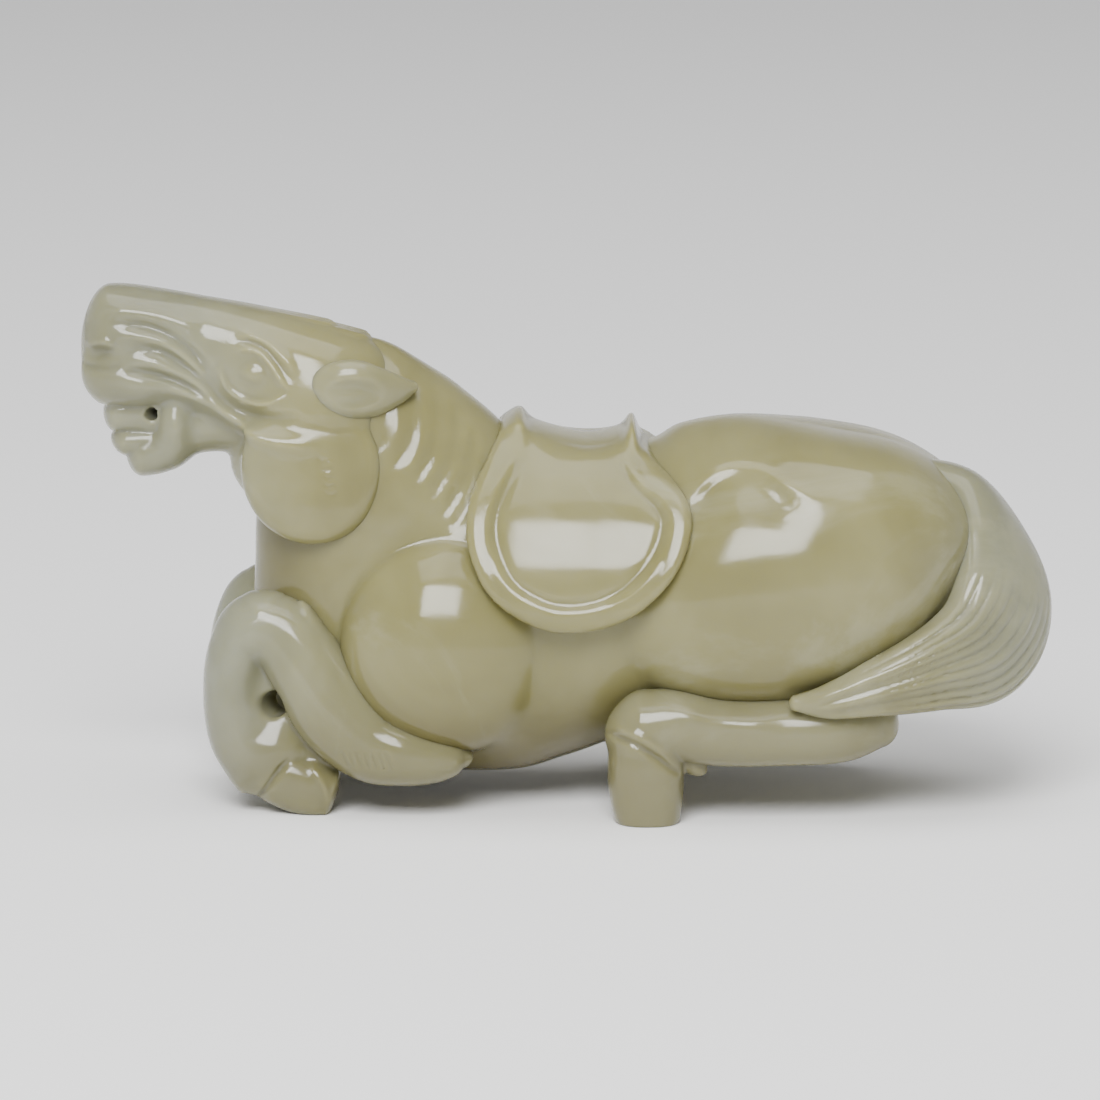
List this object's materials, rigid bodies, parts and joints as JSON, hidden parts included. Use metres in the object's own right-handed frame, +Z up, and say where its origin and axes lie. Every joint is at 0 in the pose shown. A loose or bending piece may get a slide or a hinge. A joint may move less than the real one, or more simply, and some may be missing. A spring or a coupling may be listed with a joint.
{
  "type": "jade figurine",
  "caption": "Small table carving in polished pale green nephrite: a recumbent saddled horse, head raised and stretched forward, legs folded, tail swept onto the left flank.",
  "frame": {"origin": "on the surface that the soles stand on, under the middle of the carving's box", "axes": "+X from muzzle to rump, the head points to -X; the left flank, with the tail, faces -Y; +Z up"},
  "size_m": [0.1068, 0.041, 0.0574],
  "materials": {
    "jade": "polished"
  },
  "bodies": {
    "root": {"torso": "jade", "neck": "jade", "head": "jade", "left_ear": "jade", "right_ear": "jade", "saddle": "jade", "tail": "jade", "left_foreleg": "jade", "right_foreleg": "jade", "left_hind_leg": "jade", "right_hind_leg": "jade"}
  },
  "joints": []
}
